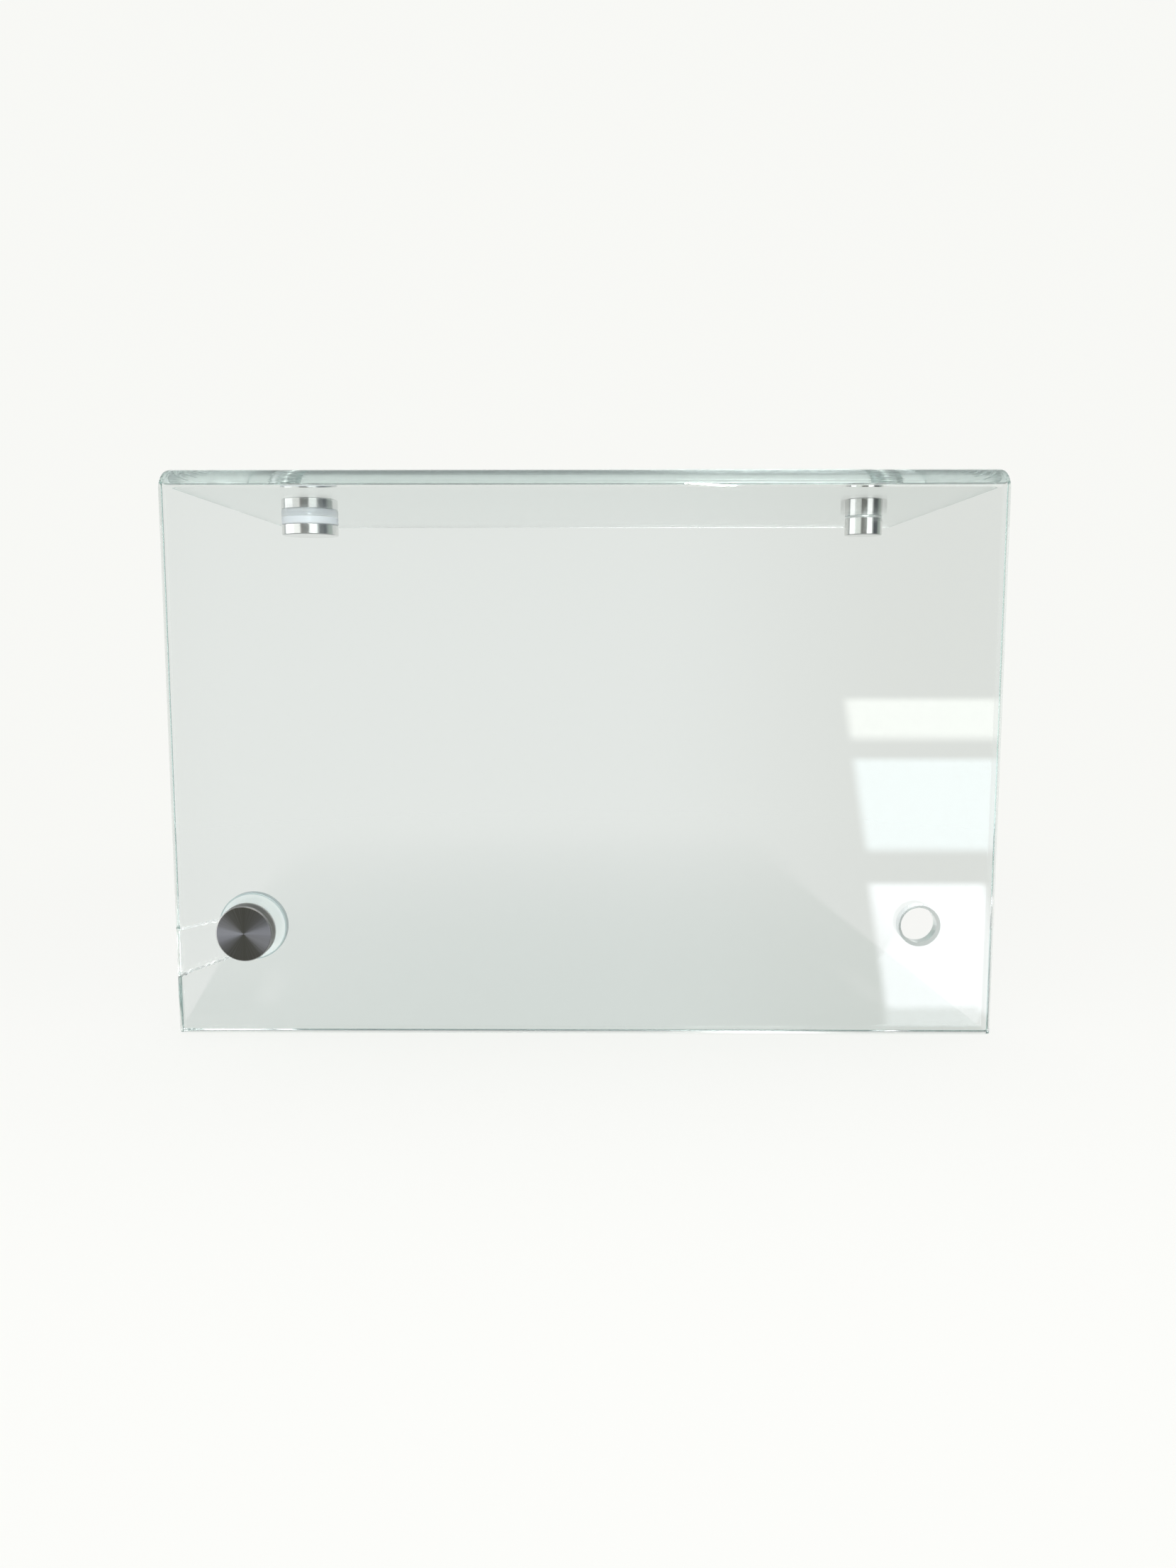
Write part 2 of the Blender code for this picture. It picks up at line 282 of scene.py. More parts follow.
class Nodes:
    """Short ways to lay out a material's nodes."""

    def __init__(self, tree: bpy.types.NodeTree) -> None:
        """Keeps the tree that nodes are added to."""
        self.tree = tree

    def feed(self, slot: Socket, value: object) -> None:
        """Fills an input.

        Args:
            slot: The input.
            value: A socket to link, or a plain value; a colour has three parts.
        """
        if isinstance(value, Socket):
            self.tree.links.new(value, slot)
        else:
            slot.default_value = (*value, 1.0) if slot.type == "RGBA" else value

    def add(self, kind: str, feeds: Feeds | None = None, **settings: object) -> bpy.types.Node:
        """Adds a node.

        Args:
            kind: The node's type.
            feeds: What fills its inputs, by name or number.
            settings: Its properties.

        Returns:
            The node.
        """
        made = self.tree.nodes.new(kind)
        for key, value in settings.items():
            setattr(made, key, value)
        for key, value in (feeds or {}).items():
            self.feed(made.inputs[key], value)
        return made

    def math(self, operation: str, *values: object) -> Socket:
        """Folds values together with Math nodes of one operation.

        Args:
            operation: The Math nodes' operation.
            values: Sockets or numbers, at least one.

        Returns:
            The result socket.
        """
        result = values[0]
        for value in values[1:] or (0.0,):
            result = self.add("ShaderNodeMath", {0: result, 1: value}, operation=operation).outputs[0]
        return result

    def ramp(self, value: Socket, span: Span, result: Span = (0.0, 1.0)) -> Socket:
        """Maps a value smoothly from one span to another.

        Args:
            value: The socket to map.
            span: Where the value starts and ends.
            result: What the two ends give.

        Returns:
            The mapped socket.
        """
        feeds = {"Value": value, "From Min": span[0], "From Max": span[1]}
        feeds |= {"To Min": result[0], "To Max": result[1]}
        made = self.add("ShaderNodeMapRange", feeds, interpolation_type="SMOOTHSTEP", clamp=True)
        return made.outputs["Result"]

    def bands(self, value: Socket, stops: Sequence[tuple[float, Colour]]) -> Socket:
        """Maps a turn of -180 to 180 degrees, given as 0 to 1, to bands of colour.

        Args:
            value: The socket to map.
            stops: The (degrees, colour) stops in order, the first at -180 and the last at 180.

        Returns:
            The colour socket.
        """
        made = self.add("ShaderNodeValToRGB", {"Fac": value})
        elements = made.color_ramp.elements
        elements[0].color = (*stops[0][1], 1.0)
        elements[1].color = (*stops[-1][1], 1.0)
        for degrees, colour in stops[1:-1]:
            elements.new(degrees / 360.0 + 0.5).color = (*colour, 1.0)
        return made.outputs["Color"]

    def blend(self, share: Socket, first: object, second: object) -> Socket:
        """Mixes two colours, each a socket or a tuple, by the second one's share."""
        return self.add("ShaderNodeMix", {"Factor": share, 6: first, 7: second}, data_type="RGBA").outputs[2]

    def choose(self, share: Socket, first: Socket, second: Socket) -> Socket:
        """Mixes two shaders by the second one's share."""
        return self.add("ShaderNodeMixShader", {0: share, 1: first, 2: second}).outputs[0]

    def spot(self) -> Socket:
        """Gives the place on the object."""
        return self.add("ShaderNodeTexCoord").outputs["Object"]

    def own_frame(self, place: Matrix) -> Socket:
        """Gives the place on the object in a fixing's own frame.

        Args:
            place: The frame, its axis along Z.

        Returns:
            The vector socket.
        """
        back = place.inverted()
        feeds = {"Vector": self.spot(), "Location": back.to_translation(), "Rotation": back.to_euler()}
        return self.add("ShaderNodeMapping", feeds, vector_type="POINT").outputs[0]

    def parts(self, vector: Socket) -> list[Socket]:
        """Splits a vector into X, Y and Z."""
        return list(self.add("ShaderNodeSeparateXYZ", {0: vector}).outputs)

    def haze(self, scale: float, strength: float) -> Socket:
        """Gives the mask of handling marks on a surface.

        Args:
            scale: How fine the marks are.
            strength: How strong the mask is.

        Returns:
            The mask socket.
        """
        feeds = {"Vector": self.spot(), "Scale": scale, "Strength": strength}
        return self.add("ShaderNodeGroup", feeds, node_tree=haze_group()).outputs["Mask"]


def haze_group() -> bpy.types.ShaderNodeTree:
    """Builds the shared effect of handling marks: soft smears over a surface.

    Returns:
        A node group with Vector, Scale and Strength inputs and a Mask output.
    """
    group = bpy.data.node_groups.get("handling_haze")
    if group:
        return group
    group = bpy.data.node_groups.new("handling_haze", "ShaderNodeTree")
    for name, kind in (("Vector", "Vector"), ("Scale", "Float"), ("Strength", "Float")):
        group.interface.new_socket(name, in_out="INPUT", socket_type=f"NodeSocket{kind}")
    group.interface.new_socket("Mask", in_out="OUTPUT", socket_type="NodeSocketFloat")
    nodes = Nodes(group)
    given = nodes.add("NodeGroupInput").outputs
    feeds = {
        "Vector": given["Vector"], "Scale": given["Scale"],
        "Detail": 5.0, "Roughness": 0.62, "Distortion": 0.6,
    }
    cloud = nodes.add("ShaderNodeTexNoise", feeds)
    soft = nodes.ramp(cloud.outputs["Fac"], (0.42, 0.78))
    nodes.add("NodeGroupOutput", {"Mask": nodes.math("MULTIPLY", soft, given["Strength"])})
    return group


@dataclass(frozen=True)
class Finish:
    """What every finish has: a name, a colour and how it shines."""

    name: str
    colour: Colour
    roughness: float

    def start(self, feeds: Feeds | None = None) -> tuple[Material, Nodes, bpy.types.Node]:
        """Makes a material with one Principled shader.

        Args:
            feeds: What fills the shader's inputs, besides the colour and the roughness.

        Returns:
            The material, its nodes and the shader.
        """
        made = bpy.data.materials.new(self.name)
        made.use_nodes = True
        nodes = Nodes(made.node_tree)
        shader = made.node_tree.nodes["Principled BSDF"]
        for key, value in {"Base Color": self.colour, "Roughness": self.roughness, **(feeds or {})}.items():
            nodes.feed(shader.inputs[key], value)
        return made, nodes, shader

    def handle(self, nodes: Nodes, shader: bpy.types.Node, marks: Span) -> None:
        """Adds handling marks, given by scale and strength, to the roughness of a surface."""
        nodes.feed(shader.inputs["Roughness"], nodes.math("ADD", nodes.haze(*marks), self.roughness))


@dataclass(frozen=True)
class ClearFinish(Finish):
    """A see-through finish that lets lamp light pass with a tint."""

    refraction: float = 1.52
    shade: Colour = (0.90, 0.92, 0.91)
    absorb: Colour = (1.0, 1.0, 1.0)
    density: float = 0.0

    def open_to_lamps(self, nodes: Nodes, shader: bpy.types.Node) -> None:
        """Lets lamp light and soft light through the surface, each dimmed once at each face.

        Args:
            nodes: The material's nodes.
            shader: Its Principled shader.
        """
        shader.inputs["Transmission Weight"].default_value = 1.0
        shader.inputs["IOR"].default_value = self.refraction
        path = nodes.add("ShaderNodeLightPath")
        seen = shader.outputs[0]
        through = nodes.add("ShaderNodeBsdfTransparent", {"Color": self.shade})
        for ray in ("Is Diffuse Ray", "Is Shadow Ray"):
            seen = nodes.choose(path.outputs[ray], seen, through.outputs[0])
        out = nodes.tree.nodes["Material Output"]
        nodes.feed(out.inputs["Surface"], seen)
        if self.density > 0.0:
            depth = nodes.add("ShaderNodeVolumeAbsorption", {"Color": self.absorb, "Density": self.density})
            nodes.feed(out.inputs["Volume"], depth.outputs[0])


@dataclass(frozen=True)
class GlassFinish(ClearFinish):
    """Float glass: polished faces, ground hole walls and broken edges made bright with a painted glow."""

    marks: Span = (38.0, 0.012)
    ground_roughness: float = 0.55
    ground_colour: Colour = (0.50, 0.545, 0.54)
    ground_span: Span = (0.8, 1.0)
    break_roughness: float = 0.42
    break_colour: Colour = (0.99, 1.0, 1.0)
    painted_break_glow: Colour = (0.16, 0.165, 0.16)

    def make(self) -> Material:
        """Builds the glass.

        Returns:
            The material; its faces read the ground and broken attributes.
        """
        made, nodes, shader = self.start({"Emission Strength": 1.0})
        ground = nodes.add("ShaderNodeAttribute", attribute_name="ground").outputs["Fac"]
        broken = nodes.add("ShaderNodeAttribute", attribute_name="broken").outputs["Fac"]
        rough = nodes.math("ADD", nodes.math("MULTIPLY", ground, self.ground_roughness),
                           nodes.math("MULTIPLY", broken, self.break_roughness), nodes.haze(*self.marks))
        nodes.feed(shader.inputs["Roughness"], rough)
        tint = nodes.blend(nodes.ramp(ground, self.ground_span), self.colour, self.ground_colour)
        nodes.feed(shader.inputs["Base Color"], nodes.blend(broken, tint, self.break_colour))
        # Painted light: the broken faces glow, so that the cracks read white.
        nodes.feed(shader.inputs["Emission Color"], nodes.blend(broken, (0.0, 0.0, 0.0), self.painted_break_glow))
        self.open_to_lamps(nodes, shader)
        return made


@dataclass(frozen=True)
class VinylFinish(ClearFinish):
    """Clear soft plastic, slightly cloudy."""

    marks: Span = (220.0, 0.12)

    def make(self) -> Material:
        """Builds the clear plastic.

        Returns:
            The material.
        """
        made, nodes, shader = self.start()
        self.handle(nodes, shader, self.marks)
        self.open_to_lamps(nodes, shader)
        return made


@dataclass(frozen=True)
class SpunSteelFinish(Finish):
    """Steel faced on a lathe. Its fan of reflection is painted into its colour round the middle, with painted
    shade on its side and a painted highlight on its chamfer and foot.
    """

    grain: float = 0.45
    # Painted shade: the dark tone between the lobes of the painted fan of reflection.
    shadow: Colour = (0.080, 0.078, 0.064)
    # Painted highlight on the chamfer round the face, painted shade on the flank behind it and a painted
    # highlight on the foot near the glass.
    chamfer: Colour = (0.55, 0.55, 0.54)
    chamfer_highlight_depth: Span = (0.06 * MM, 0.12 * MM)
    shaded_flank: Colour = (0.105, 0.103, 0.095)
    flank_depth: Span = (0.46 * MM, 0.56 * MM)
    foot: Colour = (0.52, 0.52, 0.51)
    foot_highlight_depth: Span = (3.6 * MM, 5.6 * MM)
    ray_scale: float = 90.0
    ray_spread: Span = (-0.04, 0.04)
    ray_roughness: float = 0.06
    ring_scale: float = 900.0
    ring_height: float = 0.02 * MM
    # Painted reflection: how bright the spun face is at each angle round the axis, a bow tie lighter to the
    # left and right.
    painted_fan: tuple[tuple[float, float], ...] = (
        (-180.0, 1.0), (-165.0, 0.85), (-150.0, 0.35), (-128.0, 0.06), (-90.0, 0.0), (-55.0, 0.04),
        (-36.0, 0.42), (-24.0, 0.55), (-10.0, 0.60), (2.0, 0.85), (14.0, 0.80), (26.0, 0.38),
        (48.0, 0.10), (90.0, 0.0), (128.0, 0.08), (148.0, 0.38), (160.0, 0.52), (169.0, 0.92), (180.0, 1.0),
    )

    def make(self, place: Matrix, facing: Facing, face: float) -> Material:
        """Builds the spun steel of one cap.

        Args:
            place: The cap's own frame, its axis along Z.
            facing: The way the cap looks.
            face: The height of the cap's face in its own frame.

        Returns:
            The material, its grain and its painted fan of reflection centred on the cap.
        """
        made, nodes, shader = self.start({"Metallic": 1.0, "Anisotropic": self.grain})
        axis = "Y" if facing is Facing.FRONT else "Z"
        tangent = nodes.add("ShaderNodeTangent", direction_type="RADIAL", axis=axis)
        nodes.feed(shader.inputs["Tangent"], tangent.outputs[0])
        where = nodes.own_frame(place)
        angle = nodes.add("ShaderNodeTexGradient", {"Vector": where}, gradient_type="RADIAL").outputs["Fac"]
        # The spun face's reflection is painted into the base colour by angle, with fine rays from the grain.
        painted_fan = nodes.bands(angle, [(degrees, (level,) * 3) for degrees, level in self.painted_fan])
        feeds = {"Scale": self.ray_scale, "Detail": 5.0, "W": angle}
        rays = nodes.add("ShaderNodeTexNoise", feeds, noise_dimensions="1D").outputs["Fac"]
        bright = nodes.math("ADD", painted_fan, nodes.ramp(rays, (0.25, 0.75), self.ray_spread))
        # Paints the side by depth below the face: a highlight on the chamfer, shade on the flank and a
        # highlight on the foot.
        depth = nodes.math("SUBTRACT", face, nodes.parts(where)[2])
        painted_side_light = nodes.blend(nodes.ramp(depth, self.foot_highlight_depth), self.shaded_flank, self.foot)
        tone = nodes.blend(bright, self.shadow, self.colour)
        tone = nodes.blend(nodes.ramp(depth, self.chamfer_highlight_depth), tone, self.chamfer)
        tone = nodes.blend(nodes.ramp(depth, self.flank_depth), tone, painted_side_light)
        nodes.feed(shader.inputs["Base Color"], tone)
        rough = nodes.math("ADD", nodes.math("MULTIPLY", rays, self.ray_roughness), self.roughness)
        nodes.feed(shader.inputs["Roughness"], rough)
        feeds = {"Scale": self.ring_scale, "Distortion": 1.2, "Vector": where}
        rings = nodes.add("ShaderNodeTexWave", feeds, wave_type="RINGS", rings_direction="Z")
        feeds = {"Strength": 0.05, "Distance": self.ring_height, "Height": rings.outputs["Fac"]}
        nodes.feed(shader.inputs["Normal"], nodes.add("ShaderNodeBump", feeds).outputs[0])
        return made


@dataclass(frozen=True)
class PolishedSteelFinish(Finish):
    """Bright turned steel with faint tool lines."""

    line_scale: float = 9000.0
    line_roughness: float = 0.08
    line_dulling: float = 0.90

    def make(self, place: Matrix) -> Material:
        """Builds the polished steel of one spacer.

        Args:
            place: The spacer's own frame, its axis along Z.

        Returns:
            The material, its tool lines running round the axis.
        """
        made, nodes, shader = self.start({"Metallic": 1.0})
        feeds = {"Scale": self.line_scale, "Detail": 3.0, "W": nodes.parts(nodes.own_frame(place))[2]}
        lines = nodes.add("ShaderNodeTexNoise", feeds, noise_dimensions="1D")
        marks = nodes.ramp(lines.outputs["Fac"], (0.35, 0.70))
        rough = nodes.math("ADD", nodes.math("MULTIPLY", marks, self.line_roughness), self.roughness)
        nodes.feed(shader.inputs["Roughness"], rough)
        dull = tuple(part * self.line_dulling for part in self.colour)
        nodes.feed(shader.inputs["Base Color"], nodes.blend(marks, self.colour, dull))
        return made


@dataclass(frozen=True)
class RodFinish(Finish):
    """Plain threaded steel with a little dirt in its grain."""

    marks: Span = (600.0, 0.25)

    def make(self) -> Material:
        """Builds the threaded steel.

        Returns:
            The material.
        """
        made, nodes, shader = self.start({"Metallic": 1.0})
        self.handle(nodes, shader, self.marks)
        return made


@dataclass(frozen=True)
class NylonFinish(Finish):
    """White nylon that light soaks into, with painted shade round its rim."""

    # Painted shade round the washer's rim.
    rim: Colour = (0.50, 0.57, 0.58)
    shaded_rim_width: float = 0.35 * MM
    marks: Span = (300.0, 0.15)

    def make(self, place: Matrix, radius: float) -> Material:
        """Builds the nylon of one washer.

        Args:
            place: The washer's own frame, its axis along Z.
            radius: The washer's radius.

        Returns:
            The material, its painted rim shade centred on the washer.
        """
        made, nodes, shader = self.start({
            "Subsurface Weight": 0.35, "Subsurface Radius": (0.8, 0.9, 1.0), "Subsurface Scale": 2.0 * MM,
        })
        x, y, _ = nodes.parts(nodes.own_frame(place))
        away = nodes.math("SQRT", nodes.math("ADD", nodes.math("MULTIPLY", x, x), nodes.math("MULTIPLY", y, y)))
        # Darkens the colour towards the rim: painted shade.
        edge = nodes.ramp(away, (radius - 2.0 * self.shaded_rim_width, radius - self.shaded_rim_width))
        nodes.feed(shader.inputs["Base Color"], nodes.blend(edge, self.colour, self.rim))
        self.handle(nodes, shader, self.marks)
        return made


@dataclass
class GlassSheet:
    """The bent, drilled sheet and the piece that broke out of its left edge."""

    width: float = 0.300
    height: float = 0.205
    depth: float = 0.176
    thickness: float = 6.6 * MM
    standoff: float = 8.0 * MM
    bend_rise: float = 8.0 * MM
    bend_run: float = 13.5 * MM
    bend_steps: int = 48
    crease: float = 0.4 * MM
    draw: float = 1.4 * MM
    draw_reach: float = 21.0 * MM
    arris: float = 1.1 * MM
    hole_radius: float = 6.5 * MM
    hole_arris: float = 1.1 * MM
    crack_width: float = 0.07 * MM
    crack_steps: int = 110
    crack_lead: float = 2.0 * MM
    crack_end: float = 0.6
    crack_chip: float = 0.55 * MM
    crack_layers_mm: tuple[float, ...] = (
        1.5, 1.65, 1.9, 2.3, 3.0, 4.0, 5.0, 6.0, 7.0, 8.0, 8.7, 9.2, 9.5, 11.0,
    )
    jag_mm: float = 0.20
    jag_scale: float = 700.0
    fine_jag_mm: float = 0.07
    fine_jag_scale: float = 2600.0
    ripple_waves: Span = (2.1 * MM, 5.0 * MM)
    ripple_scale: Span = (900.0, 500.0)
    chip_scale: float = 650.0
    chip_share: float = 0.15
    chip_depth: float = 0.7 * MM
    upper_ripple_mm: Span = (0.05, 0.10)
    lower_ripple_mm: Span = (0.20, 0.22)
    upper_drop: float = 0.7 * MM
    upper_bow: float = 1.2 * MM
    upper_angle: float = math.radians(138.0)
    upper_pulls: Span = (0.35, 0.55)
    lower_drop: float = 18.9 * MM
    lower_bow: float = 13.5 * MM
    lower_angle: float = math.radians(252.0)
    lower_pulls: Span = (0.29, 0.80)
    lower_slant: float = 1.4 * MM
    crown_share: float = 0.30
    crown_radius: float = 2.5 * MM
    wall_grind: float = 0.75
    lip_grind: float = 1.0
    rear_grind: float = 0.30
    edge_grind: float = 0.12
    break_reach: float = 1.6 * MM
    side_margin: float = 27.5 * MM
    top_side_margin: float = 25.1 * MM
    collar: float = 16.0 * MM
    collar_inner: float = 106.5 * MM
    collar_outer: float = 140.5 * MM
    holes: list[tuple[Vector, Facing]] = field(default_factory=list)

    @property
    def front(self) -> float:
        """Where the front face lies along Y."""
        return -(self.thickness + self.standoff)

    @property
    def top(self) -> float:
        """Where the upper face lies along Z."""
        return self.thickness + self.standoff

    @property
    def foot(self) -> float:
        """Where the lower edge lies along Z."""
        return self.top - self.height

    @property
    def broken_hole(self) -> Vector:
        """The (x, z) middle of the hole that the cracks run into."""
        return Vector((self.holes[0][0].x, self.holes[0][0].z))

    def profile(self, inner: bool) -> Outline:
        """Lists one face of the bent strip from its foot to its rear edge.

        Args:
            inner: Whether it is the face on the ledge side.

        Returns:
            The (y, z) points in order.
        """
        skin = self.thickness if inner else 0.0
        run, rise = (self.crease, self.crease) if inner else (self.bend_run, self.bend_rise)
        middle = (self.front + skin + run, self.top - skin - rise)
        points = [(self.front + skin, self.foot)]
        for step in range(self.bend_steps + 1):
            turn = math.pi / 2 * step / self.bend_steps
            points.append((middle[0] - run * math.cos(turn), middle[1] + rise * math.sin(turn)))
        points.append((self.front + self.depth, self.top - skin))
        return points

    def blank(self, name: str) -> Piece:
        """Bends a strip into the sheet, takes off its sharp edges and draws in the ends of its bend.

        Args:
            name: The new object's name.

        Returns:
            The sheet before drilling.
        """
        inner = Bench.chain(f"{name}_inner", self.profile(True), False)
        sheet = Bench.chain(name, self.profile(False), False)
        spare = inner.data
        Bench.activate(sheet)
        inner.select_set(True)
        bpy.ops.object.join()
        bpy.data.meshes.remove(spare)
        across = Matrix.Translation((-self.width / 2, 0.0, 0.0)) @ Matrix.Rotation(math.pi / 2, 4, "Z")
        Bench.settle(sheet, across)
        length = {"value": (self.width, 0.0, 0.0)}
        with Bench.editing(sheet):
            bpy.ops.mesh.select_mode(type="EDGE")
            Bench.grab()
            bpy.ops.mesh.bridge_edge_loops()
            Bench.grab()
            bpy.ops.mesh.extrude_region_move(TRANSFORM_OT_translate=length)
            Bench.face_out()
            bpy.ops.mesh.select_all(action="DESELECT")
            bpy.ops.mesh.edges_select_sharp(sharpness=math.radians(60.0))
            bpy.ops.mesh.bevel(offset=self.arris, segments=2, profile=0.6)
            bpy.ops.mesh.select_mode(type="VERT")
        Bench.sort(sheet)
        for side in (-1, 1):
            self.draw_in(sheet, side)
        return sheet

    def draw_in(self, sheet: Piece, side: int) -> None:
        """Draws in one end of the bend, as soft glass does on the outside of a bend.

        Args:
            sheet: The bent sheet.
            side: The end, -1 on the left and 1 on the right.
        """
        back, down = self.crown_share * self.bend_run, self.crown_share * self.bend_rise
        crown = Vector((self.front + back, self.top - down))
        mesh = sheet.data
        mesh.polygons.foreach_set("select", [False] * len(mesh.polygons))
        mesh.edges.foreach_set("select", [False] * len(mesh.edges))
        for vertex in mesh.vertices:
            at_end = vertex.co.x * side > self.width / 2 - 2.0 * self.arris
            vertex.select = at_end and (Vector(vertex.co.yz) - crown).length < self.crown_radius
        with Bench.editing(sheet):
            bpy.ops.transform.translate(value=(-side * self.draw, 0.0, 0.0), use_proportional_edit=True,
                                        proportional_edit_falloff="SMOOTH", proportional_size=self.draw_reach)

    def drill(self, name: str, centre: Vector, facing: Facing) -> Piece:
        """Makes a drill with flared ends, in its place.

        Args:
            name: The helper's name.
            centre: Where the hole's axis meets the outer face.
            facing: The way the outer face looks.

        Returns:
            The cutter.
        """
        reach = 2.0 * MM
        flare = self.hole_radius + self.hole_arris + reach
        outline = [
            (0.0, reach),
            (flare, reach),
            (self.hole_radius, -self.hole_arris),
            (self.hole_radius, self.hole_arris - self.thickness),
            (flare, -self.thickness - reach),
            (0.0, -self.thickness - reach),
        ]
        cutter = Bench.turn(name, outline, False, DRILL_STEPS, 0.0)
        Bench.settle(cutter, frame_of(centre, facing))
        return cutter

    def crack(self, upper: bool) -> list[Vector]:
        """Draws one crack on the front face.

        Args:
            upper: Whether it is the upper crack.

        Returns:
            The (x, z) points from outside the left edge into the hole.
        """
        hole = self.broken_hole
        edge = -self.width / 2
        angle = self.upper_angle if upper else self.lower_angle
        end = hole + self.crack_end * self.hole_radius * Vector((math.cos(angle), math.sin(angle)))
        if upper:
            start = Vector((edge, hole.y - self.upper_drop))
            end_height = hole.y + self.hole_radius * math.sin(angle)
            pulls = [
                Vector((edge + self.upper_pulls[0] * self.side_margin, start.y + self.upper_bow)),
                Vector((edge + self.upper_pulls[1] * self.side_margin, end_height)),
            ]
        else:
            start = Vector((edge, hole.y - self.lower_drop))
            pulls = [
                Vector((edge + share * self.side_margin, hole.y - self.lower_bow))
                for share in self.lower_pulls
            ]
        line = [start - Vector((self.crack_lead, 0.0))]
        for step in range(self.crack_steps + 1):
            t = step / self.crack_steps
            s = 1.0 - t
            point = s**3 * start + 3 * s * s * t * pulls[0] + 3 * s * t * t * pulls[1] + t**3 * end
            jag = noise.noise(Vector((point.x * self.jag_scale, 3.7 if upper else 9.1, 0.0)))
            fine = noise.noise(Vector((point.x * self.fine_jag_scale, 1.3 if upper else 5.9, 2.0)))
            line.append(point + Vector((0.0, (self.jag_mm * jag + self.fine_jag_mm * fine) * MM)))
        return line

    def break_cutter(self, name: str, shift: float, flare: float) -> Piece:
        """Makes a block the shape of the broken piece, its crack faces rippled and chipped.

        Args:
            name: The helper's name.
            shift: How far the crack faces move outwards.
            flare: How far chips at the two faces of the glass widen the block.

        Returns:
            The cutter.
        """
        upper = self.crack(True)
        lower = self.crack(False)
        hole = self.broken_hole
        curve = bpy.data.curves.new(name, "CURVE")
        curve.dimensions = "2D"
        curve.fill_mode = "BOTH"
        spline = curve.splines.new("POLY")
        loop = upper + [hole] + lower[::-1]
        spline.points.add(len(loop) - 1)
        spline.use_cyclic_u = True
        for point, (x, z) in zip(spline.points, loop):
            point.co = (x, z, 0.0, 1.0)
        block = bpy.data.objects.new(name, curve)
        bpy.context.scene.collection.objects.link(block)
        Bench.activate(block)
        bpy.ops.object.convert(target="MESH")
        block = Bench.name(bpy.context.active_object, name)
        start = Matrix.Translation((0.0, self.front - 1.5 * MM, 0.0)) @ Matrix.Rotation(math.pi / 2, 4, "X")
        Bench.settle(block, start)
        with Bench.editing(block):
            Bench.weld(WELD_CURVE)
            for near, far in zip((0.0, *self.crack_layers_mm), self.crack_layers_mm):
                step = {"value": (0.0, (far - near) * MM, 0.0)}
                bpy.ops.mesh.extrude_region_move(TRANSFORM_OT_translate=step)
            Bench.face_out()
        middle = hole.y - 0.4 * self.lower_drop
        for vertex in block.data.vertices:
            x, y, z = vertex.co
            above = z > middle
            inside = y - self.front
            wave = math.sin(math.tau * (x / self.ripple_waves[0] + inside / self.ripple_waves[1]))
            fine = (x * self.ripple_scale[0], y * self.ripple_scale[1], 4.0 if above else 8.0)
            rough = noise.noise(Vector(fine))
            even, uneven = self.upper_ripple_mm if above else self.lower_ripple_mm
            ripple = (even * wave + uneven * rough) * MM
            face = min(abs(inside), abs(inside - self.thickness))
            spot = (x * self.chip_scale, 2.0 if above else 6.0, 0.5 if inside < 4.0 * MM else 7.5)
            chip = max(0.0, noise.noise(Vector(spot)) + self.chip_share)
            chip *= max(0.0, 1.0 - face / self.chip_depth)
            side = 1.0 if above else -1.0
            lean = 0.0 if above else self.lower_slant * (0.5 - inside / self.thickness)
            vertex.co.z = z + ripple + lean + side * (shift + flare * chip)
        return block

    def mark(self, piece: Piece) -> None:
        """Marks the ground hole walls and the broken faces of a glass piece.

        Args:
            piece: The drilled sheet or the broken piece.
        """
        mesh = piece.data
        ground = mesh.attributes.new("ground", "FLOAT", "FACE")
        broken = mesh.attributes.new("broken", "FLOAT", "FACE")
        cracks = self.crack(True) + self.crack(False)
        reach = self.hole_radius + self.hole_arris + 0.05 * MM
        for face in mesh.polygons:
            spot = face.center
            for centre, facing in self.holes:
                off = spot - centre
                axis, other, way = (1, 2, 1.0) if facing is Facing.FRONT else (2, 1, -1.0)
                into, tilt = way * off[axis], abs(face.normal[axis])
                within = Vector((off.x, off[other])).length < reach
                if within and -MM < into < self.thickness + MM and tilt < LIP_TILT:
                    ground.data[face.index].value = self.wall_grind if tilt < WALL_TILT else self.lip_grind
            rear = spot.y > self.front + self.depth - self.arris and face.normal.y > EDGE_TILT
            rim = abs(face.normal.x) > EDGE_TILT and abs(spot.x) > self.width / 2 - self.arris - self.draw
            if rim or rear or (spot.z < self.foot + self.arris and face.normal.z < -EDGE_TILT):
                ground.data[face.index].value = self.rear_grind if rear else self.edge_grind
            if spot.x > self.holes[0][0].x or spot.y > -self.standoff + MM or abs(face.normal.y) > FACE_TILT:
                continue
            near = min((Vector((spot.x, spot.z)) - point).length for point in cracks)
            polished = ground.data[face.index].value == 0.0
            if near < self.break_reach and polished and abs(face.normal.x) < SIDE_TILT:
                broken.data[face.index].value = 1.0

    def flatten(self, piece: Piece) -> None:
        """Makes the flat faces of the glass shade dead flat, so that they mirror without a ripple.

        Args:
            piece: The drilled sheet or the broken piece.
        """
        mesh = piece.data
        planes = [
            (1, self.front, Vector((0.0, -1.0, 0.0))),
            (1, -self.standoff, Vector((0.0, 1.0, 0.0))),
            (2, self.top, Vector((0.0, 0.0, 1.0))),
            (2, self.standoff, Vector((0.0, 0.0, -1.0))),
        ]
        normals = [Vector(corner.vector) for corner in mesh.corner_normals]
        for face in mesh.polygons:
            for axis, place, normal in planes:
                if all(abs(mesh.vertices[index].co[axis] - place) < FLAT_SLACK for index in face.vertices):
                    for corner in face.loop_indices:
                        normals[corner] = normal
        mesh.normals_split_custom_set(normals)

